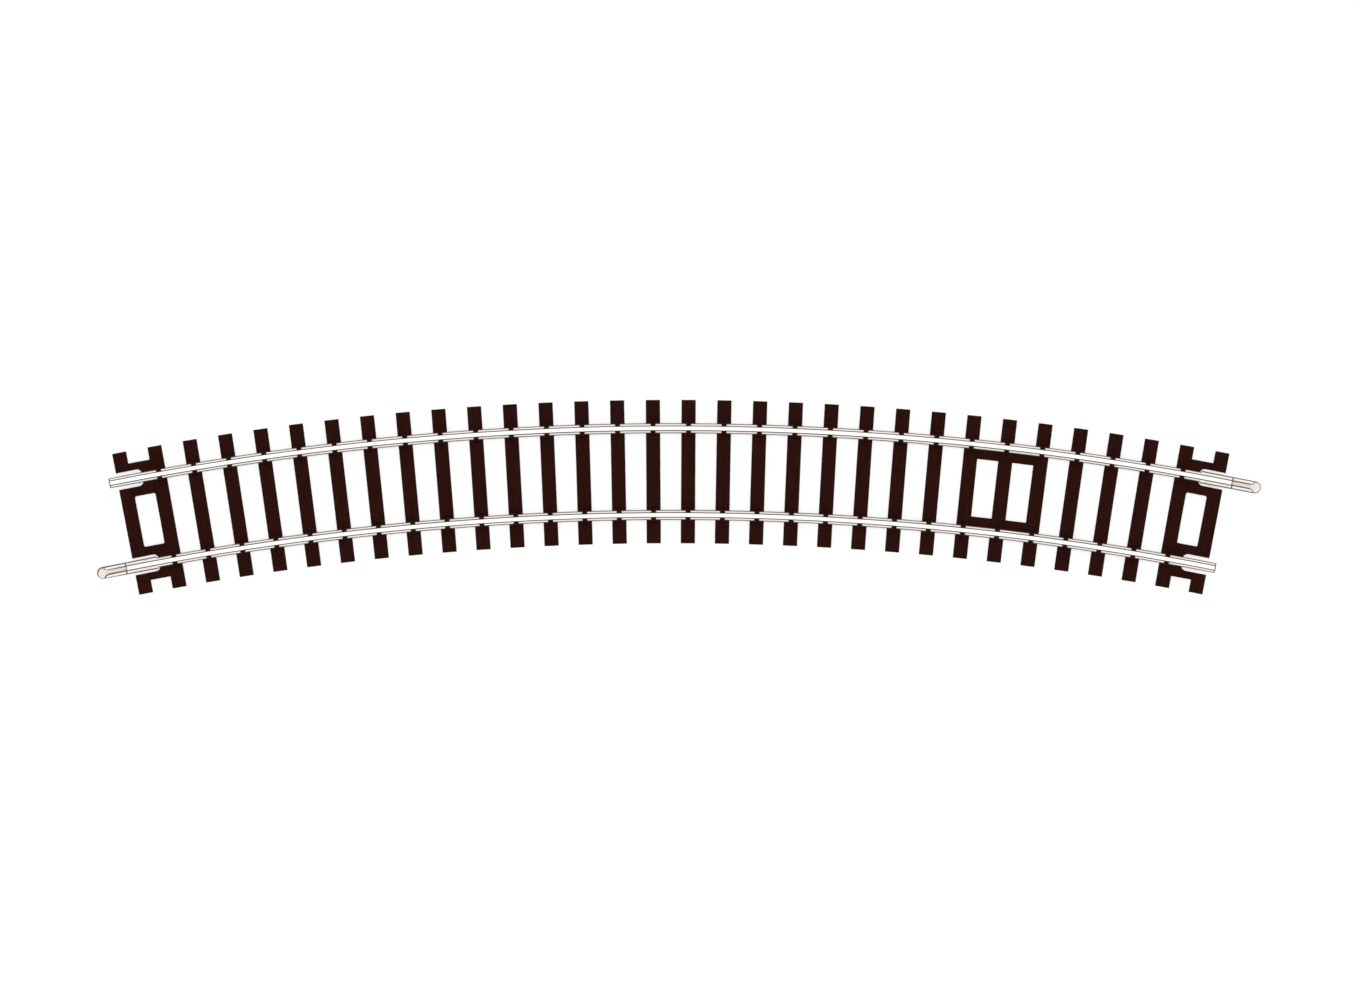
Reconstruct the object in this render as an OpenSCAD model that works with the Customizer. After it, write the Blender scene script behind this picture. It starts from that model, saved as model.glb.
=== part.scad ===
// Curved section of 16.5 mm gauge model railway track: a moulded sleeper base, two
// flat-bottom rails held by moulded chairs, and a push-on rail joiner at each end.
// X runs along the track, Y points to the outside of the curve and Z is up. The origin
// is in the middle of the section's footprint, level with the sleepers' undersides.

/* [Curve] */
// Radius of the track centreline
curve_radius = 571.5; // [300:0.5:900]
// Angle that the section turns through, in degrees
curve_angle = 22.5; // [22.5]
// Number of sleepers, which sets their spacing
sleeper_count = 32; // [32]
// Distance between the inner faces of the rail heads
gauge = 16.5; // [16.5]
// How far each rail end stops short of the joint with the next section
rail_end_gap = 0.5; // [0:0.1:0.8]

/* [Rail] */
// Height of the rail
rail_h = 2.54; // [2.4:0.02:2.7]
// Width of the rail head
head_w = 0.9; // [0.8:0.05:1]
// Depth of the rail head, down to its under-cut
head_h = 0.74; // [0.6:0.02:0.8]
// Thickness of the rail web
web_t = 0.5; // [0.4:0.05:0.6]
// Width of the rail foot
foot_w = 1.96; // [1.9:0.02:2.1]
// Thickness of the rail foot at its edges
foot_edge_h = 0.3; // [0.25:0.01:0.35]

/* [Sleepers] */
// Length of a sleeper, across the track
sleeper_len = 28.8; // [27:0.1:31]
// Width of a sleeper, along the track
sleeper_w = 2.85; // [2.6:0.05:3.1]
// Height of a sleeper's top face above the underside
sleeper_h = 2.2; // [1.8:0.1:2.6]
// Draft of the sleeper's sides, from the foot to the top edge
sleeper_draft = 0.06; // [0:0.01:0.1]
// Bevel along the top edges of a sleeper
sleeper_bevel = 0.12; // [0.05:0.01:0.2]

/* [Chairs] */
// Length of a baseplate, across the track
plate_len = 4.6; // [4.2:0.1:5]
// Width of a baseplate, along the rail
plate_w = 2; // [1.6:0.1:2.3]
// Height of a baseplate above the sleeper
plate_h = 0.2; // [0.1:0.05:0.3]
// Width of the clips that hook over the rail foot
clip_w = 1; // [0.8:0.05:1.2]
// Height of a clip above the rail seat
clip_h = 0.86; // [0.8:0.02:0.95]
// How far a clip's outer toe is from the middle of the rail
clip_toe = 1.7; // [1.5:0.05:2]
// Clearance between the chairs and the rail foot
chair_clearance = 0.03; // [0.02:0.01:0.05]

/* [Base moulding] */
// Width of the strips that tie the sleepers together under the rails
tie_w = 1.5; // [1:0.1:1.8]
// Underside of those strips
tie_z0 = 0.4; // [0.2:0.1:0.6]
// Top of those strips
tie_z1 = 1.5; // [1.2:0.1:1.8]
// Height of the side bars in the end frames and the feeder clip frame
bar_h = 1.8; // [1.4:0.1:2]
// Inner edge of the end frames' side bars, from the centreline
end_bar_in = 5.15; // [4.8:0.05:5.5]
// Outer edge of the end frames' side bars, from the centreline
end_bar_out = 11.9; // [11.5:0.1:12.3]
// Corner radius of the windows in the end frames
window_corner = 0.3; // [0.15:0.05:0.5]
// Inner edge of the feeder clip frame's side bars, from the centreline
clip_bar_in = 5.8; // [5.4:0.1:6.2]
// Number of the first sleeper of the feeder clip frame, counted from the left
clip_frame_first = 25; // [25]

/* [Joiner slots] */
// Width of the slot that each rail end spans
slot_w = 3.4; // [3.2:0.1:3.6]
// Distance from the joint with the next section to the closed end of a slot
slot_depth = 7.3; // [7.1:0.1:7.5]
// Corner radius at the closed end of a slot
slot_corner = 1; // [0.5:0.1:1.2]

/* [Rail joiners] */
// Thickness of the joiner's sheet metal
sheet_t = 0.18; // [0.15:0.01:0.2]
// Clearance between the joiner and the rail foot
joiner_clearance = 0.05; // [0.04:0.01:0.06]
// Length of rail that a joiner holds
joiner_grip = 6.4; // [6:0.1:6.4]
// Length of a joiner beyond the rail end
joiner_reach = 5.9; // [5:0.1:6.4]
// Half width of the slot between the joiner's folded edges
joiner_lips = 0.37; // [0.36:0.01:0.4]
// Radius of the folded edges' flared mouth
mouth_r = 0.95; // [0.9:0.01:1]

/* [Pin holes] */
// Radius of the blind pin holes in the underside
pin_r = 0.5; // [0.4:0.05:0.6]
// Depth of the blind pin holes
pin_depth = 1.6; // [1.2:0.1:1.8]
// Numbers of the sleepers that have a pin hole, counted from the left
pin_sleepers = [3, 16, 30];

/* [Hidden] */
$fn = 96;
arc_fn = 720;
cut = 0.5;                                   // how far a cutter runs past what it cuts
pitch_angle = curve_angle / sleeper_count;
rail_y = (gauge + head_w) / 2;
rail_seat = sleeper_h + plate_h;
joint_angle = curve_angle / 2;
rail_end_angle = joint_angle - angle_of(rail_end_gap);
foot_rise = 0.36;                            // slope of the rail foot's top
fillet = 0.17;                               // width of the slopes beside the rail web
fillet_h = 0.119;                            // height of those slopes
head_slope_h = 0.16;                         // height of the slopes under the rail head
head_bevel = 0.12;                           // bevel along the head's top corners
clip_under_head = 0.05;                      // how far a clip reaches in under the head
clip_shoulder = 0.2;                         // flat top of a clip, past the rail foot
clip_back = 0.45;                            // where a clip's back turns down, past the foot
clip_back_h = 0.2;                           // height of that turn above the foot's edge
sink = 0.1;                                  // how far chairs run into the sleeper
lip_land = 0.02;                             // flat left on a joiner's lip at its mouth
tongue_bare = 0.1;                           // tongue beyond the mouth, before its round end
foot_half = foot_w / 2;
web_half = web_t / 2;
head_half = head_w / 2;
foot_top_z = foot_edge_h + (foot_half - web_half - fillet) * foot_rise;
end_sleeper_angle = sleeper_angle(sleeper_count) + angle_of(sleeper_w / 2);
curve_centre = [
    -rail_y * sin(rail_end_angle),
    -(curve_radius + sleeper_len / 2 + (curve_radius - sleeper_len / 2) * cos(end_sleeper_angle)) / 2
];
clip_frame_last = clip_frame_first + 2;
plain_sleepers = [for (n = [3 : sleeper_count - 2])
    if (n < clip_frame_first || n > clip_frame_last) n];

function angle_of(length) = length / curve_radius * 180 / PI;
function sleeper_angle(n) = (n - (sleeper_count + 1) / 2) * pitch_angle;
function two_digits(n) = n < 10 ? str("0", n) : str(n);
function sleeper_name(n) = str("sleeper_", two_digits(n));
// Height of the rail foot's top above the rail seat, at a distance from the rail's middle
function foot_top(y) = foot_edge_h + (foot_half - y) * foot_rise;
function mirrored(half) = concat(half, [for (i = [len(half) - 1 : -1 : 0]) [-half[i].x, half[i].y]]);

// Places its children on the centreline at an angle from the middle of the curve
module at_angle(angle) {
    translate(curve_centre)
        rotate([0, 0, -angle])
            translate([0, curve_radius, 0])
                children();
}

// Turns a shape of the right-hand half of the curve into the left-hand one
module other_end() {
    translate([curve_centre.x, 0, 0])
        mirror([1, 0, 0])
            translate([-curve_centre.x, 0, 0])
                children();
}

// Sweeps a section round the curve. Its X is the distance from the centreline.
module sweep(from_angle, to_angle) {
    translate(curve_centre)
        rotate([0, 0, 90 - to_angle])
            rotate_extrude(angle = to_angle - from_angle, $fn = arc_fn)
                translate([curve_radius, 0])
                    children();
}

// A bar of rectangular section that follows the curve, from one distance to another
module curved_bar(from_angle, to_angle, y0, y1, z0, z1) {
    sweep(from_angle, to_angle)
        translate([y0, z0])
            square([y1 - y0, z1 - z0]);
}

// Flat-bottom rail section, standing on the seat
module rail_section() {
    head_z = rail_h - head_h;
    polygon(mirrored([
        [foot_half, 0],
        [foot_half, foot_edge_h],
        [web_half + fillet, foot_top_z],
        [web_half, foot_top_z + fillet_h],
        [web_half, head_z - head_slope_h],
        [head_half, head_z],
        [head_half, rail_h - head_bevel],
        [head_half - head_bevel, rail_h]
    ]));
}

module rail(y) {
    sweep(-rail_end_angle, rail_end_angle)
        translate([y, rail_seat])
            rail_section();
}

// Section of a sleeper across its width, with drafted sides and bevelled top edges
module sleeper_section(width, height) {
    polygon(mirrored([
        [width / 2, 0],
        [width / 2 - sleeper_draft, height - sleeper_bevel],
        [width / 2 - sleeper_draft - sleeper_bevel, height]
    ]));
}

// The plain timber of a sleeper, centred on the origin and lying along Y
module timber() {
    intersection() {
        rotate([90, 0, 0])
            linear_extrude(sleeper_len, center = true)
                sleeper_section(sleeper_w, sleeper_h);
        rotate([90, 0, 90])
            linear_extrude(sleeper_w + cut, center = true)
                sleeper_section(sleeper_len, sleeper_h);
    }
}

// Half of a chair: the clip that hooks over one side of the rail foot
module clip() {
    lip = head_half - clip_under_head;
    inside = foot_half + chair_clearance;
    rotate([90, 0, 90])
        linear_extrude(clip_w, center = true)
            polygon([
                [inside, -sink],
                [inside, foot_top(inside) + 2 * chair_clearance],
                [lip, foot_top(lip) + 2 * chair_clearance],
                [lip, clip_h],
                [foot_half + clip_shoulder, clip_h],
                [foot_half + clip_back, foot_edge_h + clip_back_h],
                [clip_toe, -sink]
            ]);
}

// A moulded chair: the baseplate under the rail and a clip on each side
module chair() {
    translate([0, 0, rail_seat]) {
        translate([-plate_w / 2, -plate_len / 2, -plate_h - sink])
            cube([plate_w, plate_len, plate_h + sink]);
        clip();
        mirror([0, 1, 0])
            clip();
    }
}

// A blind hole in the underside that a track pin is driven through
module pin_hole() {
    translate([0, 0, -cut])
        cylinder(r = pin_r, h = pin_depth + cut);
}

// Sleeper number n in its place, with its chairs and its pin hole if it has one
module sleeper(n, chairs = true) {
    at_angle(sleeper_angle(n))
        difference() {
            union() {
                timber();
                if (chairs)
                    for (side = [-1, 1])
                        translate([0, side * rail_y, 0])
                            chair();
            }
            if (len(search(n, pin_sleepers)) > 0)
                pin_hole();
        }
}

module plain_sleeper(n) {
    color("#2b130f")
        sleeper(n);
}

// The strips under one rail that tie the sleepers into a single moulding, one between
// each sleeper and the next
module tie_strip(y) {
    color("#2b130f")
        for (n = [2 : sleeper_count - 2])
            if (n < clip_frame_first || n >= clip_frame_last)
                difference() {
                    curved_bar(sleeper_angle(n), sleeper_angle(n + 1),
                               y - tie_w / 2, y + tie_w / 2, tie_z0, tie_z1);
                    for (end = [n, n + 1])
                        at_angle(sleeper_angle(end))
                            timber();
                }
}

// A rectangle with rounded corners, centred on the origin
module rounded_rectangle(length, width, corner) {
    square([length - 2 * corner, width], center = true);
    square([length, width - 2 * corner], center = true);
    for (x = [-1, 1], y = [-1, 1])
        translate([x * (length / 2 - corner), y * (width / 2 - corner)])
            circle(r = corner);
}

// Outline of the slot that a rail end and its joiner lie in, open towards +X
module slot_outline() {
    length = slot_depth + 2 * slot_corner;
    translate([length / 2 - slot_depth, 0])
        rounded_rectangle(length, slot_w, slot_corner);
}

// The last two sleepers at the right-hand end, tied by bars beside the joiner slots, with
// a window between the bars
module end_frame() {
    inner = sleeper_count - 1;
    window_len = curve_radius * pitch_angle * PI / 180 - sleeper_w + 2 * sleeper_draft;
    difference() {
        union() {
            sleeper(inner);
            sleeper(inner + 1, chairs = false);
            difference() {
                curved_bar(sleeper_angle(inner), sleeper_angle(inner + 1),
                           -end_bar_out, end_bar_out, 0, bar_h);
                at_angle(sleeper_angle(inner + 0.5))
                    translate([0, 0, -cut])
                        linear_extrude(bar_h + 2 * cut)
                            rounded_rectangle(window_len, 2 * end_bar_in, window_corner);
            }
        }
        for (side = [-1, 1])
            at_angle(joint_angle)
                translate([0, side * rail_y, -cut])
                    linear_extrude(rail_seat + 2 * cut)
                        slot_outline();
    }
}

module end_frame_right() {
    color("#2b130f")
        end_frame();
}

module end_frame_left() {
    color("#2b130f")
        other_end()
            end_frame();
}

// Three sleepers and the bars between them that hold a power feeder clip
module clip_frame() {
    outside = rail_y + tie_w / 2;
    color("#2b130f")
        union() {
            for (n = [clip_frame_first : clip_frame_last])
                sleeper(n);
            for (edges = [[clip_bar_in, outside], [-outside, -clip_bar_in]])
                curved_bar(sleeper_angle(clip_frame_first), sleeper_angle(clip_frame_last),
                           edges[0], edges[1], tie_z0, bar_h);
        }
}

// Folded section of a joiner, round the rail foot
module joiner_section() {
    inside = foot_half + joiner_clearance;
    outside = inside + sheet_t;
    lift = joiner_clearance * sqrt(1 + foot_rise * foot_rise);
    polygon(mirrored([
        [outside, -joiner_clearance - sheet_t],
        [outside, foot_top(outside) + lift + sheet_t],
        [joiner_lips, foot_top(joiner_lips) + lift + sheet_t],
        [joiner_lips, foot_top(joiner_lips) + lift],
        [inside, foot_top(inside) + lift],
        [inside, -joiner_clearance]
    ]));
}

// A pressed rail joiner. X is along the rail and outwards, and 0 is the rail end.
module joiner() {
    half_w = foot_half + joiner_clearance + sheet_t;
    tongue = joiner_reach - half_w;
    mouth = tongue - tongue_bare;
    base_z = -joiner_clearance - sheet_t;
    difference() {
        rotate([90, 0, 90])
            translate([0, 0, -joiner_grip])
                linear_extrude(joiner_grip + tongue)
                    joiner_section();
        translate([mouth - mouth_r, 0, base_z + sheet_t])
            linear_extrude(rail_h)
                difference() {
                    translate([0, -half_w - cut])
                        square([mouth_r + 2 * cut, 2 * (half_w + cut)]);
                    for (side = [-1, 1])
                        translate([0, side * (joiner_lips + lip_land + mouth_r)])
                            circle(r = mouth_r);
                }
    }
    translate([tongue, 0, base_z])
        cylinder(r = half_w, h = sheet_t);
}

// A joiner on the right-hand end of the rail at y, in line with the rail that it grips
module joiner_on_rail(y) {
    grip_angle = angle_of(joiner_grip / 2);
    at_angle(rail_end_angle - grip_angle)
        translate([joiner_grip / 2, y, rail_seat])
            joiner();
}

module joiner_right() {
    color("#e6dcd5")
        joiner_on_rail(rail_y);
}

module joiner_left() {
    color("#e6dcd5")
        other_end()
            joiner_on_rail(-rail_y);
}

module rail_outer() {
    color("#f1ece8")
        rail(rail_y);
}

module rail_inner() {
    color("#f1ece8")
        rail(-rail_y);
}

rail_outer();
rail_inner();
joiner_left();
joiner_right();
end_frame_left();
end_frame_right();
clip_frame();
tie_strip(rail_y);  // tie_strip_outer
tie_strip(-rail_y);  // tie_strip_inner
for (n = plain_sleepers)
    plain_sleeper(n);
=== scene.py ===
# %% [markdown]
# A curved section of model railway track, built as a lesson in cells.
#
# The real thing is a dark plastic moulding of 32 sleepers with two drawn metal rails slid
# into its chairs, and a folded metal joiner on one rail at each end. The CAD model gives
# every size and place, so this file only makes the surfaces: it starts by loading that
# model as a fixed frame, and each piece below is then made to stand for one CAD node.

# %% Load the frame
import math

import bmesh
import bpy
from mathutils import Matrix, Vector


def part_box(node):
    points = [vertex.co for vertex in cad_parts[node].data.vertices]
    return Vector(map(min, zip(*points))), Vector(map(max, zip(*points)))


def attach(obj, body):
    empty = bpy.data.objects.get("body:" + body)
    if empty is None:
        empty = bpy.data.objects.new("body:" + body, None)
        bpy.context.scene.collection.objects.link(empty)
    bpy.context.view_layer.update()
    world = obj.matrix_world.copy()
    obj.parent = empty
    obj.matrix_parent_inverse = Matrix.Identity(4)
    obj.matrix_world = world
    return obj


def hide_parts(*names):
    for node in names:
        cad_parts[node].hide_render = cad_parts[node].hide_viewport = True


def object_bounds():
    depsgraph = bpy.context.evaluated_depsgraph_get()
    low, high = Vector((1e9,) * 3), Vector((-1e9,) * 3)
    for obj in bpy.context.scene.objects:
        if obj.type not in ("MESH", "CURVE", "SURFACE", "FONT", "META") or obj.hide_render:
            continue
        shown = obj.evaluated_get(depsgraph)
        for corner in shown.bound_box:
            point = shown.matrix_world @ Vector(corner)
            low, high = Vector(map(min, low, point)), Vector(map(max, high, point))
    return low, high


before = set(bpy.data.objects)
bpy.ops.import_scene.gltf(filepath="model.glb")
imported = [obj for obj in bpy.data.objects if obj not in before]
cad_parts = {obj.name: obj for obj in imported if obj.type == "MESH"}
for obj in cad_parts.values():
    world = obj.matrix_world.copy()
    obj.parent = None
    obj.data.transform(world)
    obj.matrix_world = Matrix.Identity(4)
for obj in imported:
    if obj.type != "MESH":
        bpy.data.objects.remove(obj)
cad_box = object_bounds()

size = cad_box[1] - cad_box[0]
print("CAD nodes:", len(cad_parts))
print("CAD box in mm:", [round(1000 * s, 2) for s in size])

# %% [markdown]
# Track is drawn in tenths of a millimetre, and Blender's tools are happiest when a shape is
# a few units across. Every piece is therefore modelled with one unit to the millimetre and
# shrunk to metres at the very end. The sizes are those of the CAD model: the track bends
# round a centre far below it, sleepers lie along the radii of that circle, and everything
# is placed by an angle from the middle of the curve, positive to the right.

# %% Sizes, in millimetres and degrees
MM = 0.001
curve_radius = 571.5
curve_middle = Vector((-1.68982, -566.34387, 0))
sleeper_count = 32
pitch = 22.5 / sleeper_count
rail_offset = 8.7
rail_end = 11.19987
sleeper_width, sleeper_length, sleeper_top = 2.85, 28.8, 2.2
side_draft, top_bevel = 0.06, 0.11
plate_height, bar_top, underside_gap = 0.2, 1.8, 0.4
rail_seat = sleeper_top + plate_height
rail_height = 2.54
foot_half, foot_edge, foot_rise = 0.98, 0.3, 0.36
web_half, head_half, head_under = 0.25, 0.45, 1.80
pinned_sleepers, clip_frame_middle = (3, 16, 30), 26


def sleeper_angle(number):
    """Where sleeper 1 to 32 lies, in degrees from the middle of the curve."""
    return (number - (sleeper_count + 1) / 2) * pitch


def arc_angle(length):
    """The angle that a length along the centreline turns through."""
    return math.degrees(length / curve_radius)


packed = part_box("rail_outer")
print("rail top in the frame:", round(packed[1].z / MM, 3), "here:", rail_seat + rail_height)
print("curve centre x in the frame:", round((packed[0].x + packed[1].x) / 2 / MM, 4))

# %% [markdown]
# A handful of helpers keep the modelling cells short. They only wrap what is done by hand:
# choose one object, choose faces or edges by where they are, apply a modifier, cut one
# shape with another, copy, and move a finished shape to its place on the curve. Operators
# act on everything that is selected, so each helper first deselects all the rest.


# %% Choosing objects and parts of them
def only(*objects):
    """Selects these objects and nothing else."""
    bpy.ops.object.select_all(action="DESELECT")
    for thing in objects:
        thing.select_set(True)
    bpy.context.view_layer.objects.active = objects[0]


def pick(thing, kind, test):
    """In edit mode, selects the vertices, edges or faces that a test accepts."""
    bpy.ops.mesh.select_mode(type=kind)
    bpy.ops.mesh.select_all(action="DESELECT")
    mesh = bmesh.from_edit_mesh(thing.data)
    parts = {"VERT": mesh.verts, "EDGE": mesh.edges, "FACE": mesh.faces}[kind]
    for part in parts:
        if test(part):
            part.select_set(True)
    mesh.select_flush_mode()
    bmesh.update_edit_mesh(thing.data)


def middle_of(part):
    """The middle of an edge or a face."""
    return sum((v.co for v in part.verts), Vector()) / len(part.verts)


def near(a, b, within=0.001):
    """Whether two numbers are the same to within a micrometre, or as asked."""
    return abs(a - b) < within


def level(edge):
    """Whether both ends of an edge are at one height."""
    return near(edge.verts[0].co.z, edge.verts[1].co.z)


# %% Starting, finishing and combining shapes
def start_block(name, low, high):
    """A cube primitive between two corners."""
    bpy.ops.object.select_all(action="DESELECT")
    low, high = Vector(low), Vector(high)
    bpy.ops.mesh.primitive_cube_add(size=1, location=(low + high) / 2, scale=high - low)
    block = bpy.context.object
    block.name = name
    settle(block)
    return block


def start_cylinder(name, place, radius, depth, sides=32):
    """A cylinder primitive that stands on a place."""
    bpy.ops.object.select_all(action="DESELECT")
    bpy.ops.mesh.primitive_cylinder_add(
        vertices=sides, radius=radius, depth=depth,
        location=Vector(place) + Vector((0, 0, depth / 2)))
    post = bpy.context.object
    post.name = name
    settle(post)
    return post


def settle(thing):
    """Puts an object's place, turn and scale into its mesh."""
    only(thing)
    bpy.ops.object.transform_apply(location=True, rotation=True, scale=True)


def use_modifier(thing, kind, **settings):
    """Adds a modifier and applies it."""
    only(thing)
    modifier = thing.modifiers.new(kind.lower(), kind)
    for name, value in settings.items():
        setattr(modifier, name, value)
    bpy.ops.object.modifier_apply(modifier=modifier.name)


def soften(thing, width, angle, segments=2):
    """Rounds every edge that is sharper than an angle."""
    use_modifier(thing, "BEVEL", width=width, segments=segments, limit_method="ANGLE",
                 angle_limit=math.radians(angle))


def carve(thing, cutter):
    """Cuts a closed shape with another, which is used up."""
    use_modifier(thing, "BOOLEAN", operation="DIFFERENCE", object=cutter, solver="EXACT")
    bpy.data.objects.remove(cutter)


def copy_of(thing):
    """A copy with a mesh of its own."""
    only(thing)
    bpy.ops.object.duplicate(linked=False)
    return bpy.context.object


def join(*things):
    """Makes several objects one, which keeps the first one's name."""
    only(*things)
    if len(things) > 1:
        bpy.ops.object.join()
    return things[0]


def outward_normals(thing):
    """Turns every face outwards, after points that lie together are merged."""
    only(thing)
    bpy.ops.object.mode_set(mode="EDIT")
    bpy.ops.mesh.select_all(action="SELECT")
    bpy.ops.mesh.remove_doubles(threshold=0.0005)
    bpy.ops.mesh.normals_make_consistent(inside=False)
    bpy.ops.object.mode_set(mode="OBJECT")


# %% Moving shapes round the curve
def turn_by(thing, angle):
    """Swings a shape round the centre of its curve, which lies one radius below its origin."""
    bend = math.radians(-angle)
    thing.rotation_euler.z = bend
    thing.location = Vector((-curve_radius * math.sin(bend),
                             curve_radius * (math.cos(bend) - 1), 0))
    settle(thing)


def move_to_curve(thing):
    """Moves a shape from the centreline's middle at the origin to where it lies in the frame."""
    thing.location = curve_middle + Vector((0, curve_radius, 0))
    settle(thing)


def place_on_curve(thing, angle):
    """Moves a shape that was made round the origin to its angle on the curve."""
    turn_by(thing, angle)
    move_to_curve(thing)


def other_hand(thing):
    """Turns a right-hand shape into a left-hand one."""
    thing.scale.x = -1
    settle(thing)
    outward_normals(thing)


def hand_in(thing, name, node, body, finish, smooth=40):
    """Shrinks a finished shape to metres, gives it its finish and its body, and hides the CAD node
    it stands for.
    """
    thing.name = name
    thing.data.name = name
    thing.scale = (MM, MM, MM)
    settle(thing)
    bpy.ops.object.shade_smooth_by_angle(angle=math.radians(smooth))
    thing.data.materials.clear()
    thing.data.materials.append(finish)
    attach(thing, body)
    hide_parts(node)


# %% [markdown]
# Finishes come next, because every piece is handed its finish as it is made. A finish is a
# little drawing in maths: where is this point, how far is it from the middle of the rail,
# is it on the polished top or down in a corner? Writing that maths with nodes one by one is
# hard to read, so a small class wraps a socket, and plain Python expressions on it add the
# Math nodes.


# %% A socket that understands arithmetic
class Wire:
    def __init__(self, bench, socket):
        self.bench, self.socket = bench, socket

    def maths(self, operation, *values):
        made = self.bench.node("ShaderNodeMath", {"operation": operation},
                               dict(enumerate(values)))
        return Wire(self.bench, made.outputs[0])

    def __add__(self, other):
        return self.maths("ADD", self, other)

    def __sub__(self, other):
        return self.maths("SUBTRACT", self, other)

    def __rsub__(self, other):
        return self.maths("SUBTRACT", other, self)

    def __mul__(self, other):
        return self.maths("MULTIPLY", self, other)

    def __truediv__(self, other):
        return self.maths("DIVIDE", self, other)

    def __pow__(self, other):
        return self.maths("POWER", self, other)

    def __abs__(self):
        return self.maths("ABSOLUTE", self)

    __radd__ = __add__
    __rmul__ = __mul__

    def larger(self, other):
        return self.maths("MAXIMUM", self, other)

    def smaller(self, other):
        return self.maths("MINIMUM", self, other)


class Bench:
    """A new material and the one way its nodes are made."""

    def __init__(self, name):
        self.material = bpy.data.materials.new(name)
        self.material.use_nodes = True
        self.tree = self.material.node_tree
        self.shader = self.tree.nodes["Principled BSDF"]

    def node(self, kind, settings=None, inputs=None):
        made = self.tree.nodes.new(kind)
        for name, value in (settings or {}).items():
            setattr(made, name, value)
        self.feed(made, inputs or {})
        return made

    def feed(self, made, inputs):
        for key, value in inputs.items():
            if isinstance(value, Wire):
                self.tree.links.new(value.socket, made.inputs[key])
            else:
                made.inputs[key].default_value = value

    def rise(self, value, low, high):
        """0 below low, 1 above high, and a soft step between them."""
        made = self.node("ShaderNodeMapRange", {"interpolation_type": "SMOOTHSTEP"},
                         {"Value": value, "From Min": low, "From Max": high})
        return Wire(self, made.outputs["Result"])

    def mix(self, amount, first, second):
        """One colour changing to another."""
        made = self.node("ShaderNodeMix", {"data_type": "RGBA"},
                         {0: amount, 6: first, 7: second})
        return Wire(self, made.outputs[2])

    def noise(self, x, y, z, detail=3.0, rough=0.55):
        """Noise from 0 to 1 at a point given by three numbers."""
        point = self.node("ShaderNodeCombineXYZ", None, {0: x, 1: y, 2: z})
        made = self.node("ShaderNodeTexNoise", None,
                         {"Vector": Wire(self, point.outputs[0]), "Scale": 1.0,
                          "Detail": detail, "Roughness": rough})
        return Wire(self, made.outputs[0])

    def track_place(self):
        """Where a point is along the track, across it and above the floor, in millimetres."""
        place = self.node("ShaderNodeTexCoord").outputs["Object"]
        split = self.node("ShaderNodeSeparateXYZ", None, {0: Wire(self, place)})
        x, y, z = (Wire(self, split.outputs[i]) * 1000 for i in range(3))
        x, y = x - curve_middle.x, y - curve_middle.y
        along = x.maths("ARCTAN2", x, y) * curve_radius
        across = (x * x + y * y) ** 0.5 - curve_radius
        return along, across, z

    def bump(self, height, depth_mm):
        """Small dents, as deep as is said where the height is 1."""
        made = self.node("ShaderNodeBump", None,
                         {"Height": height, "Distance": depth_mm * MM, "Strength": 1.0})
        return Wire(self, made.outputs[0])


def linear(red, green, blue):
    """A colour given as 0 to 255 on screen, as the linear light that shaders work in."""
    def one(value):
        value /= 255
        return value / 12.92 if value <= 0.04045 else ((value + 0.055) / 1.055) ** 2.4
    return (one(red), one(green), one(blue), 1.0)


print("the sleepers' dark brown in linear light:", [round(v, 4) for v in linear(43, 19, 15)])

# %% [markdown]
# The sleepers are moulded in a matt, very dark red-brown plastic. Two things lift it off a
# flat colour: the timber grain cut into the mould, which runs along each sleeper, and a
# slight change of tone where the grain is deep. Sleepers point at the centre of the curve,
# so the grain has to follow the radii. Measuring places along and across the track gives
# that for nothing: noise squeezed along the track and stretched across it is timber grain.


# %% Moulded plastic
def make_plastic():
    bench = Bench("moulded_plastic")
    along, across, up = bench.track_place()
    grain = bench.noise(along * 5.5, across * 0.32, up * 1.5, detail=4, rough=0.6)
    fibre = bench.noise(along * 18, across * 1.1, up * 6, detail=2)
    patch = bench.noise(along * 0.35, across * 0.35, up, detail=2)
    deep = bench.rise(grain, 0.60, 0.38)
    tone = bench.mix(deep * 0.7, linear(39, 12, 6.5), linear(25, 6, 3))
    tone = bench.mix(bench.rise(patch, 0.45, 0.75) * 0.4, tone, linear(45, 16, 10))
    bench.feed(bench.shader, {
        "Base Color": tone,
        "Roughness": 0.76 + 0.14 * fibre,
        "Specular IOR Level": 0.05,
        "Normal": bench.bump(grain * 0.7 + fibre * 0.3, 0.06),
    })
    return bench.material


plastic = make_plastic()
print("plastic:", len(plastic.node_tree.nodes), "nodes")

# %% [markdown]
# The rails are drawn nickel silver. Wheels and cleaning keep the top of the head almost
# white, and the upper face of the foot stays a pale, slightly pink grey. Thin dark lines of
# painted shade run along both corners of the head, in the angle at the web, over the web
# under the head, along the edges of the foot and across both ends of the rail. Those lines
# are what draws the rail when it is seen from above. Drawing also leaves fine streaks along
# the metal, so the noise here is stretched along the track, the other way from the timber.


# %% Drawn rail metal
rail_end_along = math.radians(rail_end) * curve_radius


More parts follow.
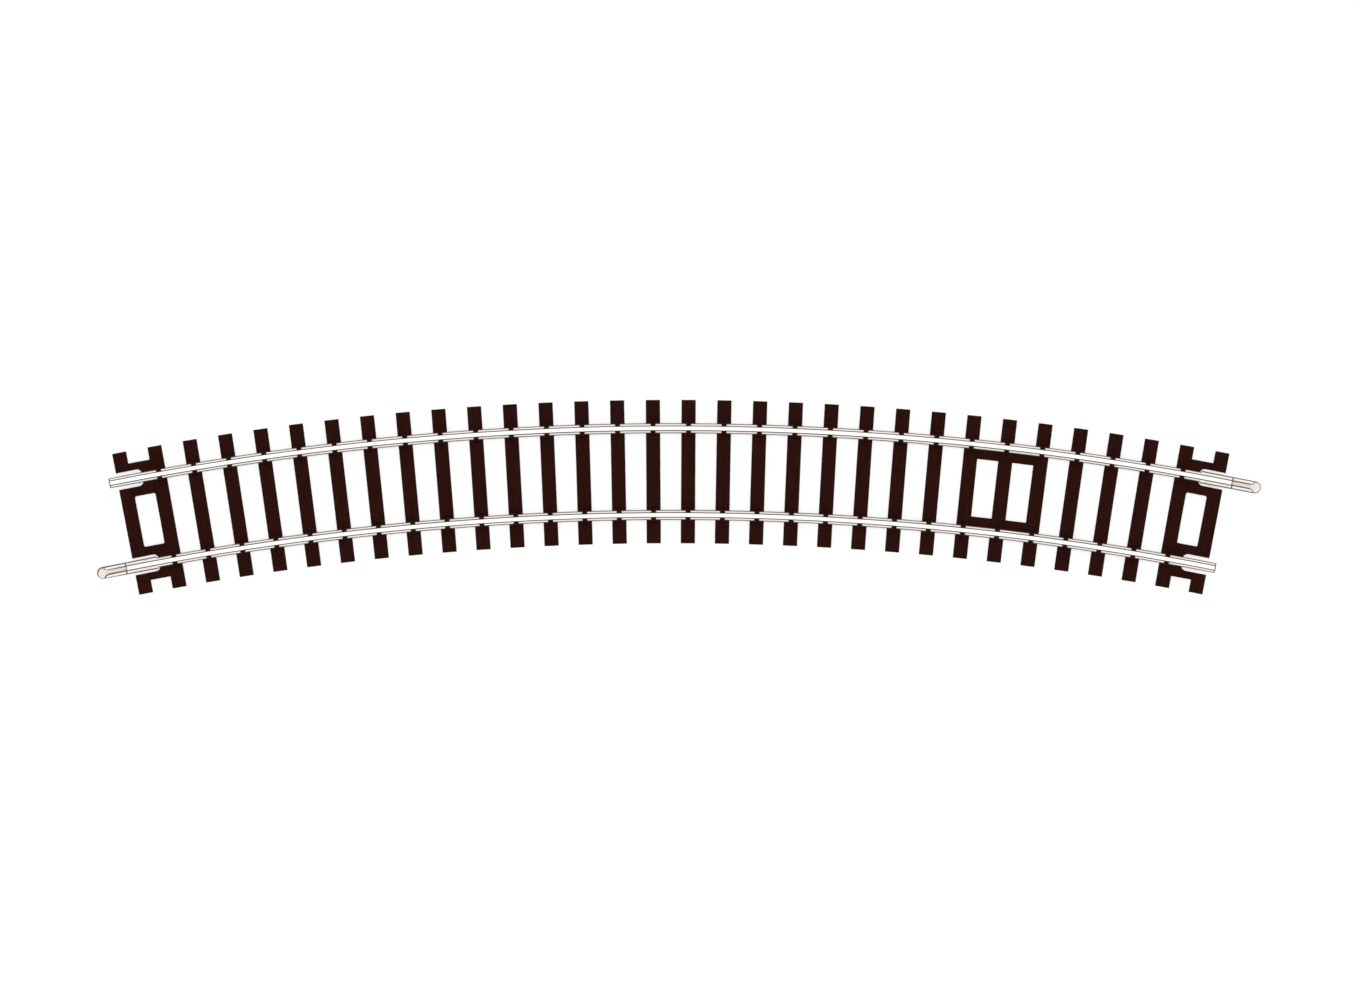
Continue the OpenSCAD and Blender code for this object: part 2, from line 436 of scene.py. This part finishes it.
def make_rail_metal():
    bench = Bench("drawn_rail_metal")
    along, across, up = bench.track_place()
    off_middle = abs(abs(across) - rail_offset)
    above_seat = up - rail_seat
    streak = bench.noise(along * 0.10, across * 26, above_seat * 26, detail=3, rough=0.65)
    cloud = bench.noise(along * 0.30, across * 1.5, above_seat * 1.5, detail=2)
    head = bench.rise(above_seat, 1.66, 1.78)
    top = bench.rise(above_seat, 2.38, 2.44)
    crown = top * bench.rise(off_middle, 0.40, 0.36)
    # Painted shade: a thin dark line along the outer edges of the foot.
    foot_edge_shade = bench.rise(off_middle, 0.80, 0.86)
    # Painted shade over the web and the inner edge of the foot, under the head.
    web_shade = bench.rise(off_middle, 0.52, 0.40) * 0.6
    # Painted shade in the angle where the web meets the foot.
    angle = bench.rise(off_middle, 0.59, 0.53) * bench.rise(above_seat, 0.75, 0.65)
    # These painted shade lines, and more painted shade along both corners of the head beside the
    # crown.
    painted_shade = (foot_edge_shade + web_shade.larger(angle)) * (1 - head) + top * (1 - crown)
    # Painted shade across the last quarter millimetre at each end of the rail; the crown's polish
    # is left out there too.
    end_shade = bench.rise(abs(along), rail_end_along - 0.27, rail_end_along - 0.17)
    painted_shade = (painted_shade + end_shade).smaller(1.0)
    crown = crown * (1 - end_shade)
    tone = bench.mix(crown, linear(240, 232, 226), linear(190, 188, 185))
    # The painted shade is mixed in as a dark grey-brown.
    tone = bench.mix(painted_shade * 0.95, tone, linear(66, 60, 57))
    tone = bench.mix(bench.rise(cloud, 0.42, 0.78) * 0.14, tone, linear(190, 179, 171))
    tone = bench.mix(bench.rise(streak, 0.45, 0.8) * 0.14, tone, linear(204, 195, 188))
    bench.feed(bench.shader, {
        "Base Color": tone,
        "Metallic": 0.40 + 0.45 * crown,
        "Roughness": 0.60 - 0.10 * crown + 0.12 * streak,
        "Normal": bench.bump(streak, 0.004),
    })
    return bench.material


rail_metal = make_rail_metal()
print("rail metal:", len(rail_metal.node_tree.nodes), "nodes")

# %% [markdown]
# Joiners are pressed from thin sheet of the same alloy and keep the satin skin that rolling
# gave it, with slanting burnish marks from the press tool. The pattern is turned to lie
# askew to the rail. Painted shade draws dark lines round the rim of the tongue and along the
# edges of the lips, as on the rail's corners, and a line of painted shade across the lips
# shows how far a rail goes in. The low base and tongue are painted in a darker tone than
# the raised lips, as painted shade.


# %% Pressed sheet metal
joiner_inner, joiner_reach, sheet = -6.4, 5.9, 0.18
joiner_half = 1.21
tongue = joiner_reach - joiner_half
mouth, mouth_radius, lip_half = tongue - 0.1, 0.95, 0.37


def make_sheet_metal():
    bench = Bench("pressed_sheet_metal")
    along, across, up = bench.track_place()
    above_seat = up - rail_seat
    outward = (abs(along) - rail_end_along) * (across / curve_radius + 1)
    # A joiner is straight, so the curve strays from it by the square of the distance.
    stray = across.maths("SIGN") * (outward - joiner_inner / 2) ** 2 / (2 * curve_radius)
    sideways = abs(abs(across) - rail_offset - stray)
    slant = across * 0.94 - along * 0.34
    burnish = bench.noise(slant * 3.2, along * 0.25, above_seat, detail=2, rough=0.5)
    skin = bench.noise(along * 3, across * 3, above_seat * 3, detail=3)
    past_tongue = (outward - tongue).larger(0.0)
    # Painted shade: a dark line round the rim of the tongue.
    tongue_rim_shade = bench.rise((past_tongue * past_tongue + sideways * sideways) ** 0.5, 0.97, 1.03)
    past_mouth = (outward - mouth + mouth_radius).larger(0.0)
    from_wall = (lip_half + 0.02 + mouth_radius - sideways).larger(0.0)
    raised = bench.rise(above_seat, 0.05, 0.15)
    # Painted shade along the slot edges of the lips and round the flare of the mouth.
    lip_edge_shade = raised * bench.rise((past_mouth * past_mouth + from_wall * from_wall) ** 0.5, 0.72, 0.78)
    # Painted shade: a line across the lips where the rail ends.
    rail_end_line_shade = raised * bench.rise(abs(outward), 0.18, 0.12)
    # Painted shade: below the raised lips, the base, the tongue and the lower walls are a darker
    # tone.
    tone = bench.mix(raised, linear(212, 204, 198), linear(238, 230, 224))
    tone = bench.mix(raised * bench.rise(burnish, 0.50, 0.56) * 0.35, tone, linear(200, 191, 185))
    tone = bench.mix(bench.rise(skin, 0.4, 0.8) * 0.15, tone, linear(190, 181, 174))
    # The painted shade lines are mixed in as a dark grey-brown.
    tone = bench.mix((tongue_rim_shade + lip_edge_shade + rail_end_line_shade).smaller(1.0) * 0.95, tone, linear(88, 81, 78))
    bench.feed(bench.shader, {
        "Base Color": tone,
        "Metallic": 0.40,
        "Roughness": 0.64 + 0.12 * skin,
        "Normal": bench.bump(skin * 0.5 + burnish * 0.5, 0.006),
    })
    return bench.material


sheet_metal = make_sheet_metal()
print("sheet metal:", len(sheet_metal.node_tree.nodes), "nodes")

# %% [markdown]
# A sleeper starts as a cube of its own size. Its sides lean in a little so that it comes
# out of the mould, and its top edges are softened. For the timber grain it is sliced into
# a fine grid with bisect, and a Displace modifier then presses noise into the top. The
# noise is read through an empty that is long one way and narrow the other, which turns
# round blobs into long fibres. It only presses down, so the sleeper keeps its height.


# %% One timber
def make_timber():
    half_w, half_l = sleeper_width / 2, sleeper_length / 2
    timber = start_block("timber", (-half_w, -half_l, 0), (half_w, half_l, sleeper_top))
    bpy.ops.object.mode_set(mode="EDIT")
    pick(timber, "FACE", lambda face: face.normal.z > 0.9)
    bpy.ops.transform.resize(
        value=((half_w - side_draft) / half_w, (half_l - side_draft) / half_l, 1),
        center_override=(0, 0, sleeper_top))
    pick(timber, "EDGE", lambda edge: all(near(v.co.z, sleeper_top) for v in edge.verts))
    bpy.ops.mesh.bevel(offset=top_bevel, offset_type="OFFSET", segments=2, profile=0.5,
                       affect="EDGES")
    slices_across, slices_along = 16, 32
    for step in range(1, slices_across):
        bpy.ops.mesh.select_all(action="SELECT")
        bpy.ops.mesh.bisect(plane_co=(-half_w + step * sleeper_width / slices_across, 0, 0),
                            plane_no=(1, 0, 0))
    for step in range(1, slices_along):
        bpy.ops.mesh.select_all(action="SELECT")
        bpy.ops.mesh.bisect(plane_co=(0, -half_l + step * sleeper_length / slices_along, 0),
                            plane_no=(0, 1, 0))
    bpy.ops.object.mode_set(mode="OBJECT")
    top = timber.vertex_groups.new(name="top")
    inside = half_w - side_draft - top_bevel
    top.add([v.index for v in timber.data.vertices
             if v.co.z > sleeper_top - 0.01 and abs(v.co.x) < inside + 0.01], 1.0, "REPLACE")
    return timber


def press_grain(timber):
    """Presses timber grain into the top of a sleeper."""
    fibre = bpy.data.textures.new("fibre", type="CLOUDS")
    fibre.noise_scale = 1.0
    fibre.noise_depth = 2
    fibre.contrast = 1.6
    stretch = bpy.data.objects.new("stretch", None)
    stretch.scale = (0.42, 6.5, 1.0)
    stretch.location = (3.1, 1.7, 0)
    bpy.context.scene.collection.objects.link(stretch)
    bpy.context.view_layer.update()
    use_modifier(timber, "DISPLACE", texture=fibre, texture_coords="OBJECT",
                 texture_coords_object=stretch, direction="Z", strength=0.11, mid_level=1.0,
                 vertex_group="top")
    bpy.data.objects.remove(stretch)
    bpy.data.textures.remove(fibre)


timber = make_timber()
press_grain(timber)
heights = [v.co.z for v in timber.data.vertices]
print("timber:", len(timber.data.polygons), "faces, top at", round(max(heights), 3), "mm")

# %% [markdown]
# Each rail is held by a chair: a baseplate on the sleeper and a clip on either side that
# hooks over the rail's foot. From above, the clips are the small dark nubs that break the
# pale foot at every sleeper. A clip is a block cut back by two bisecting planes, which
# leaves its sloping back, and then notched with the shape of the rail's foot so that only
# a lip reaches over it. The second clip is the first one turned round.


# %% One clip and one chair
clip_in, clip_out, clip_top = 0.40, 1.72, 0.86
clip_slopes = (((0, 1.70, -0.1), (0, 0.912, 0.410)), ((0, 1.18, 0.86), (0, 0.821, 0.570)))
notch_in, notch_half = 0.20, foot_half + 0.03


def make_clip():
    """A clip on the outer side of a rail whose middle is at Y 0 and whose seat is at Z 0."""
    clip = start_block("clip", (-0.5, clip_in, -0.12), (0.5, clip_out, clip_top))
    bpy.ops.object.mode_set(mode="EDIT")
    for point, across in clip_slopes:
        bpy.ops.mesh.select_all(action="SELECT")
        bpy.ops.mesh.bisect(plane_co=point, plane_no=across, use_fill=True, clear_outer=True)
    bpy.ops.object.mode_set(mode="OBJECT")
    notch = start_block("notch", (-1, notch_in, -0.5), (1, notch_half, foot_edge + 0.049))
    bpy.ops.object.mode_set(mode="EDIT")
    pick(notch, "EDGE", lambda edge: near(middle_of(edge).y, notch_in)
         and middle_of(edge).z > 0 and level(edge))
    bpy.ops.transform.translate(value=(0, 0, (notch_half - notch_in) * foot_rise))
    bpy.ops.object.mode_set(mode="OBJECT")
    carve(clip, notch)
    outward_normals(clip)
    soften(clip, 0.055, 25)
    return clip


def make_chair():
    """A baseplate, sunk a little into the sleeper, with a clip on both sides of the rail."""
    plate = start_block("plate", (-1.0, -2.3, -plate_height - 0.1), (1.0, 2.3, 0))
    bpy.ops.object.mode_set(mode="EDIT")
    pick(plate, "FACE", lambda face: face.normal.z > 0.9)
    bpy.ops.transform.resize(value=(0.96, 0.98, 1), center_override=(0, 0, 0))
    pick(plate, "EDGE", lambda edge: middle_of(edge).z > -0.2)
    bpy.ops.mesh.bevel(offset=0.07, segments=2, affect="EDGES")
    bpy.ops.object.mode_set(mode="OBJECT")
    near_clip = make_clip()
    far_clip = copy_of(near_clip)
    far_clip.rotation_euler.z = math.pi
    settle(far_clip)
    return join(plate, near_clip, far_clip)


chair = make_chair()
print("chair:", len(chair.data.polygons), "faces")

# %% [markdown]
# Timber and chairs make a whole sleeper. It is made once, copied to every place and swung
# round the curve, and every second copy is turned end for end so that the same grain is
# never seen twice side by side. Three of the sleepers have a blind hole in the underside,
# where a track pin can be driven through; for those a post is cut out of a second timber.


# %% The sleepers
def add_chairs(thing):
    """Sets a chair for each rail on a sleeper."""
    pair = []
    for side in (-1, 1):
        seated = copy_of(chair)
        seated.location = (0, side * rail_offset, rail_seat)
        settle(seated)
        pair.append(seated)
    return join(thing, *pair)


def bored(thing):
    """Drills a blind pin hole, 1 mm across and 1.6 mm deep, in the underside."""
    carve(thing, start_cylinder("post", (0, 0, -0.5), 0.5, 2.1, sides=40))
    return thing


plain = add_chairs(copy_of(timber))
holed = add_chairs(bored(copy_of(timber)))
numbers = [int(name[-2:]) for name in sorted(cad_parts) if name.startswith("sleeper_")]
for number in numbers:
    sleeper = copy_of(holed if number in pinned_sleepers else plain)
    if number % 2:
        sleeper.rotation_euler.z = math.pi
        settle(sleeper)
    place_on_curve(sleeper, sleeper_angle(number))
    hand_in(sleeper, f"moulded_sleeper_{number:02d}", f"sleeper_{number:02d}", "track",
            plastic)
print("plain sleepers:", len(numbers), "of", len(plain.data.polygons), "faces each")

# %% [markdown]
# At either end the last two sleepers are tied by thicker bars into a frame. It has a
# window with small round corners in the middle, and a slot round each rail where the
# joiner of the next section slides in. The frame is built from the same timbers and a flat
# plate; the window and the slots are cut with shapes whose upright corners were rounded
# with the bevel tool first. The right-hand frame is made, and the left-hand one is its
# mirror image.


# %% Cutters with round corners
def round_cutter(name, low, high, corner, which=lambda edge: True):
    """A tall block with some of its upright edges rounded."""
    block = start_block(name, low, high)
    bpy.ops.object.mode_set(mode="EDIT")
    pick(block, "EDGE", lambda edge: not level(edge) and which(edge))
    bpy.ops.mesh.bevel(offset=corner, segments=8, affect="EDGES")
    bpy.ops.object.mode_set(mode="OBJECT")
    return block


slot_depth, slot_half, slot_corner = 7.3, 1.7, 1.0


def slot_cutter(side):
    """The slot round a rail end, measured from the joint with the next section."""
    slot = round_cutter("slot", (-slot_depth, -slot_half, -0.5), (3, slot_half, 3),
                        slot_corner, lambda edge: middle_of(edge).x < -5)
    slot.location = (0, side * rail_offset, 0)
    settle(slot)
    turn_by(slot, pitch)
    return slot


# %% The end frames
bar_in, bar_out, window_side, window_corner = 5.15, 11.9, 1.40, 0.36


def make_end_frame():
    """The right-hand frame round the origin: two timbers and a plate, with window and slots."""
    inner = add_chairs(copy_of(timber))
    outer = copy_of(timber)
    turn_by(inner, -pitch / 2)
    turn_by(outer, pitch / 2)
    half_gap = math.radians(pitch) * curve_radius / 2
    plate = start_block("plate", (-half_gap, -bar_out, 0), (half_gap, bar_out, bar_top))
    carve(plate, round_cutter("window", (-half_gap + window_side, -bar_in, -0.5),
                              (half_gap - window_side, bar_in, 2.5), window_corner))
    soften(plate, 0.05, 60)
    for side in (-1, 1):
        for part in (outer, plate):
            carve(part, slot_cutter(side))
    for part in (outer, plate):
        outward_normals(part)
    return join(inner, outer, plate)


right_frame = make_end_frame()
left_frame = copy_of(right_frame)
other_hand(left_frame)
end_angle = sleeper_angle(sleeper_count - 0.5)
place_on_curve(right_frame, end_angle)
place_on_curve(left_frame, -end_angle)
hand_in(right_frame, "slotted_frame_right", "end_frame_right", "track",
        plastic)
hand_in(left_frame, "slotted_frame_left", "end_frame_left", "track",
        plastic)
print("end frame:", len(right_frame.data.polygons), "faces")

# %% [markdown]
# Towards the right-hand end three sleepers are tied by two bars just inside and under the
# rails, which leave a pair of windows where a power feeder clip can be pushed up against
# the rails. The frame is three copied sleepers and two bars. Each bar is made of two short
# straight halves, and swinging them round the curve keeps both square to their sleepers.


# %% The feeder clip frame
def make_bar(low_y, high_y, low_z, high_z, soft=0.05):
    """A bar between two neighbouring sleepers, in the middle between them."""
    reach = math.radians(pitch) * curve_radius / 2 - sleeper_width / 2 + 0.3
    bar = start_block("bar", (-reach, low_y, low_z), (reach, high_y, high_z))
    bpy.ops.object.mode_set(mode="EDIT")
    pick(bar, "EDGE", lambda edge: near(edge.verts[0].co.y, edge.verts[1].co.y)
         and level(edge))
    bpy.ops.mesh.bevel(offset=soft, segments=2, affect="EDGES")
    bpy.ops.object.mode_set(mode="OBJECT")
    return bar


clip_bar_in, clip_bar_out = 5.8, 9.45


def make_clip_frame():
    """Three sleepers and the four half bars between them, round the origin."""
    parts = []
    for step in (-1, 0, 1):
        sleeper = copy_of(plain)
        turn_by(sleeper, step * pitch)
        parts.append(sleeper)
    for step in (-0.5, 0.5):
        for low_y, high_y in ((clip_bar_in, clip_bar_out), (-clip_bar_out, -clip_bar_in)):
            bar = make_bar(low_y, high_y, underside_gap, bar_top)
            turn_by(bar, step * pitch)
            parts.append(bar)
    return join(*parts)


clip_frame = make_clip_frame()
place_on_curve(clip_frame, sleeper_angle(clip_frame_middle))
hand_in(clip_frame, "feeder_clip_frame", "clip_frame", "track", plastic)
print("feeder clip frame:", len(clip_frame.data.polygons), "faces")

# %% [markdown]
# Between all the other sleepers, a thin strip under each rail ties the moulding together.
# The strips can only be seen from the side or from below. One short strip is modelled for
# each rail and copied into the bays between the sleepers.

# %% The tie strips
strip_half, strip_top = 0.75, 1.5
for side, node in ((1, "tie_strip_outer"), (-1, "tie_strip_inner")):
    strips = []
    first = make_bar(side * rail_offset - strip_half, side * rail_offset + strip_half,
                     underside_gap, strip_top, soft=0.1)
    for number in range(2, sleeper_count - 1):
        if number not in (clip_frame_middle - 1, clip_frame_middle):
            strip = copy_of(first)
            turn_by(strip, sleeper_angle(number + 0.5))
            strips.append(strip)
    bpy.data.objects.remove(first)
    ties = join(*strips)
    move_to_curve(ties)
    hand_in(ties, node + "_moulded", node, "track", plastic)
    print(node, "has", len(strips), "strips")

# %% [markdown]
# The rail is one section carried round a circle. The section is drawn first: a flat
# rectangle for the edge of the foot, whose top edge is extruded upwards again and again and
# made narrower or wider each time, for the sloping foot, the web and the head. Merging
# those faces into one outline lets the corners be rounded as points, the crown of the head
# more than the rest. The spin tool then sweeps it round the centre of the curve.


# %% The rail's section
outline = ((0.42, 0.5016), (web_half, 0.62), (web_half, 1.64),
           (head_half, head_under), (head_half, rail_height))
roundings = ((2.5, 2.6, 0.13), (1.7, 1.9, 0.03), (1.6, 1.7, 0.05), (0.49, 0.52, 0.08),
             (0.6, 0.63, 0.06), (0.2, 0.4, 0.05), (-0.1, 0.1, 0.03))


def make_section():
    """The rail's outline, standing on the seat at the rail's middle, facing along the track."""
    bpy.ops.object.select_all(action="DESELECT")
    bpy.ops.mesh.primitive_plane_add(size=1, location=(0, 0, foot_edge / 2),
                                     rotation=(math.pi / 2, 0, math.pi / 2))
    section = bpy.context.object
    settle(section)
    bpy.ops.object.mode_set(mode="EDIT")
    bpy.ops.mesh.select_all(action="SELECT")
    bpy.ops.transform.resize(value=(1, 2 * foot_half, foot_edge),
                             center_override=(0, 0, foot_edge / 2))
    half, height = foot_half, foot_edge
    for next_half, next_height in outline:
        pick(section, "EDGE", lambda edge: all(near(v.co.z, height) for v in edge.verts))
        bpy.ops.mesh.extrude_region_move(
            TRANSFORM_OT_translate={"value": (0, 0, next_height - height)})
        bpy.ops.transform.resize(value=(1, next_half / half, 1),
                                 center_override=(0, 0, next_height))
        half, height = next_half, next_height
    bpy.ops.mesh.select_mode(type="FACE")
    bpy.ops.mesh.select_all(action="SELECT")
    bpy.ops.mesh.dissolve_faces()
    for low, high, radius in roundings:
        pick(section, "VERT", lambda point: low < point.co.z < high)
        bpy.ops.mesh.bevel(offset=radius, segments=3, affect="VERTICES")
    bpy.ops.object.mode_set(mode="OBJECT")
    return section


section = make_section()
print("rail section:", len(section.data.vertices), "points,",
      len(section.data.polygons), "face")

# %% [markdown]
# Spun in 128 short steps, each only 1.8 mm long, the rail's edges look perfectly round.
# The saw cut at both ends gets the smallest of bevels so that it catches the light.


# %% The two rails
def make_rail(side):
    """Spins the section from the left-hand end of a rail to the right-hand end."""
    rail = copy_of(section)
    rail.location = (0, side * rail_offset, rail_seat)
    settle(rail)
    turn_by(rail, -rail_end)
    bpy.ops.object.mode_set(mode="EDIT")
    bpy.ops.mesh.select_all(action="SELECT")
    bpy.ops.mesh.spin(steps=128, angle=math.radians(2 * rail_end),
                      center=(0, -curve_radius, 0), axis=(0, 0, 1), dupli=False)
    bpy.ops.object.mode_set(mode="OBJECT")
    outward_normals(rail)
    soften(rail, 0.03, 70, segments=1)
    move_to_curve(rail)
    return rail


for side, node in ((1, "rail_outer"), (-1, "rail_inner")):
    rail = make_rail(side)
    low = [min(v.co[i] for v in rail.data.vertices) for i in range(3)]
    high = [max(v.co[i] for v in rail.data.vertices) for i in range(3)]
    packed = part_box(node)
    print(node, "differs from the CAD box by at most",
          round(max(max(abs(low[i] - packed[0][i] / MM), abs(high[i] - packed[1][i] / MM))
                    for i in range(3)), 4), "mm")
    hand_in(rail, node + "_drawn", node, "track", rail_metal, smooth=35)

# %% [markdown]
# A joiner is a strip of sheet metal folded round the rail's foot: a flat base, two short
# walls, and two lips that lean in over the foot and leave a narrow slot for the web. It is
# modelled the way it is pressed. A flat strip is extruded up and over at both edges, the
# folds are rounded with the bevel tool, Solidify gives it the thickness of the sheet, and
# the long edges of the lips, which show most, are rounded.
# At the open end the lips are cut back in two quarter rounds, like a trumpet's mouth, and
# the base runs on as a round tongue that guides the next rail in.

# %% One joiner
base, wall, lip_rise = -0.23, 0.68, 0.3


def make_folded_sheet():
    """The sheet's outer skin, open at both ends, with the rail's seat at Z 0."""
    bpy.ops.object.select_all(action="DESELECT")
    bpy.ops.mesh.primitive_plane_add(size=1, location=((joiner_inner + joiner_reach) / 2, 0, base))
    strip = bpy.context.object
    strip.scale = (joiner_reach - joiner_inner, 2 * joiner_half, 1)
    settle(strip)
    bpy.ops.object.mode_set(mode="EDIT")
    for side in (-1, 1):
        pick(strip, "EDGE", lambda edge: near(middle_of(edge).y, side * joiner_half))
        bpy.ops.mesh.extrude_region_move(TRANSFORM_OT_translate={"value": (0, 0, wall)})
        bpy.ops.mesh.extrude_region_move(
            TRANSFORM_OT_translate={"value": (0, -side * (joiner_half - lip_half), lip_rise)})
    pick(strip, "EDGE", lambda edge: near(abs(middle_of(edge).y), joiner_half, 0.01)
         and level(edge) and not near(edge.verts[0].co.x, edge.verts[1].co.x))
    bpy.ops.mesh.bevel(offset=0.21, segments=4, affect="EDGES")
    bpy.ops.mesh.select_all(action="SELECT")
    bpy.ops.mesh.normals_make_consistent(inside=False)
    bpy.ops.object.mode_set(mode="OBJECT")
    return strip


def make_joiner():
    """A right-hand joiner along X, with the end of its own rail at X 0."""
    joiner = make_folded_sheet()
    use_modifier(joiner, "SOLIDIFY", thickness=sheet, offset=-1.0, use_even_offset=True)
    bpy.ops.object.mode_set(mode="EDIT")
    pick(joiner, "EDGE", lambda edge: near(abs(middle_of(edge).y), lip_half, 0.1)
         and abs(edge.verts[0].co.x - edge.verts[1].co.x) > 1)
    bpy.ops.mesh.bevel(offset=0.05, segments=2, affect="EDGES")
    bpy.ops.object.mode_set(mode="OBJECT")
    trumpet = start_block("trumpet", (mouth - mouth_radius, -2, -0.045), (joiner_reach + 1, 2, 2))
    for side in (-1, 1):
        place = (mouth - mouth_radius, side * (lip_half + 0.02 + mouth_radius), -0.5)
        carve(trumpet, start_cylinder("round", place, mouth_radius, 3, sides=64))
    carve(joiner, trumpet)
    corners = start_block("corners", (tongue, -2, -1), (joiner_reach + 1, 2, 1))
    carve(corners, start_cylinder("nose", (tongue, 0, -2), joiner_half - 0.003, 4, sides=64))
    carve(joiner, corners)
    outward_normals(joiner)
    return joiner


def set_on_rail(joiner, side, hand):
    """Slides a joiner on to the end of one rail, in line with the stretch that it grips."""
    if hand < 0:
        other_hand(joiner)
    joiner.location = (hand * -joiner_inner / 2, side * rail_offset, rail_seat)
    settle(joiner)
    place_on_curve(joiner, hand * (rail_end - arc_angle(-joiner_inner / 2)))


right_joiner = make_joiner()
left_joiner = copy_of(right_joiner)
set_on_rail(right_joiner, 1, 1)
set_on_rail(left_joiner, -1, -1)
hand_in(right_joiner, "folded_joiner_right", "joiner_right", "right_joiner",
        sheet_metal, smooth=30)
hand_in(left_joiner, "folded_joiner_left", "joiner_left", "left_joiner",
        sheet_metal, smooth=30)
print("joiner:", len(right_joiner.data.polygons), "faces")

# %% [markdown]
# The patterns that were copied, such as the first timber, have done their work. They are
# removed so that nothing stands about that isn't part of the track.

# %% Clear the bench
for pattern in (timber, chair, plain, holed, section):
    bpy.data.objects.remove(pattern)

# %% [markdown]
# The track lies on a plain white sheet. Real paper is never one flat tone, so a faint noise
# mixes two whites. The sheet is much larger than the track, so that its edge isn't seen from
# any side.


# %% Floor
def make_floor():
    bpy.ops.object.select_all(action="DESELECT")
    bpy.ops.mesh.primitive_grid_add(x_subdivisions=8, y_subdivisions=8, size=12)
    floor = bpy.context.object
    floor.name = "white_sheet"
    bench = Bench("white_sheet")
    place = bench.node("ShaderNodeTexCoord").outputs["Object"]
    split = bench.node("ShaderNodeSeparateXYZ", None, {0: Wire(bench, place)})
    x, y = (Wire(bench, split.outputs[i]) for i in range(2))
    paper = bench.noise(x * 90, y * 90, 0.0, detail=3)
    bench.feed(bench.shader, {
        "Base Color": bench.mix(paper * 0.3, (0.93, 0.93, 0.93, 1), (0.91, 0.91, 0.91, 1)),
        "Roughness": 0.9,
        "Specular IOR Level": 0.0,
    })
    floor.data.materials.append(bench.material)
    return floor


floor = make_floor()
print("floor:", round(floor.dimensions.x, 2), "m wide")

# %% [markdown]
# A broad soft sky lights every side. A soft sun straight above, which is how a new sun
# points, keeps the sheet white even between the sleepers, where a lower light would leave
# shadows.

# %% Light
lamp = bpy.data.lights.new("overhead", "SUN")
lamp.energy = 2.7
lamp.angle = math.radians(10)
bpy.context.scene.collection.objects.link(bpy.data.objects.new("overhead", lamp))
sky = bpy.data.worlds.new("soft_sky")
bpy.context.scene.world = sky
sky.use_nodes = True
sky.node_tree.nodes["Background"].inputs["Color"].default_value = (1, 1, 1, 1)
sky.node_tree.nodes["Background"].inputs["Strength"].default_value = 0.44
bpy.context.scene.view_settings.view_transform = "Standard"

# %% [markdown]
# The track is shown as a plan, so the camera looks straight down. A real plan view has no
# perspective. A camera far away with a very long lens comes close to that and, unlike one
# without any perspective, can also look across the sheet from just above it.

# %% Camera
picture_width, track_height = 0.27296, 0.0025
view = bpy.data.cameras.new("plan")
view.sensor_width, view.lens = 36, 900
view.clip_start, view.clip_end = 0.1, 20
camera = bpy.data.objects.new("plan", view)
camera.location = (0.000156, -0.000147,
                   track_height + picture_width * view.lens / view.sensor_width)
camera.rotation_euler.z = math.radians(-0.02)
bpy.context.scene.collection.objects.link(camera)
bpy.context.scene.camera = camera
print("the camera is", round(camera.location.z, 2), "m up and sees", picture_width, "m of track")
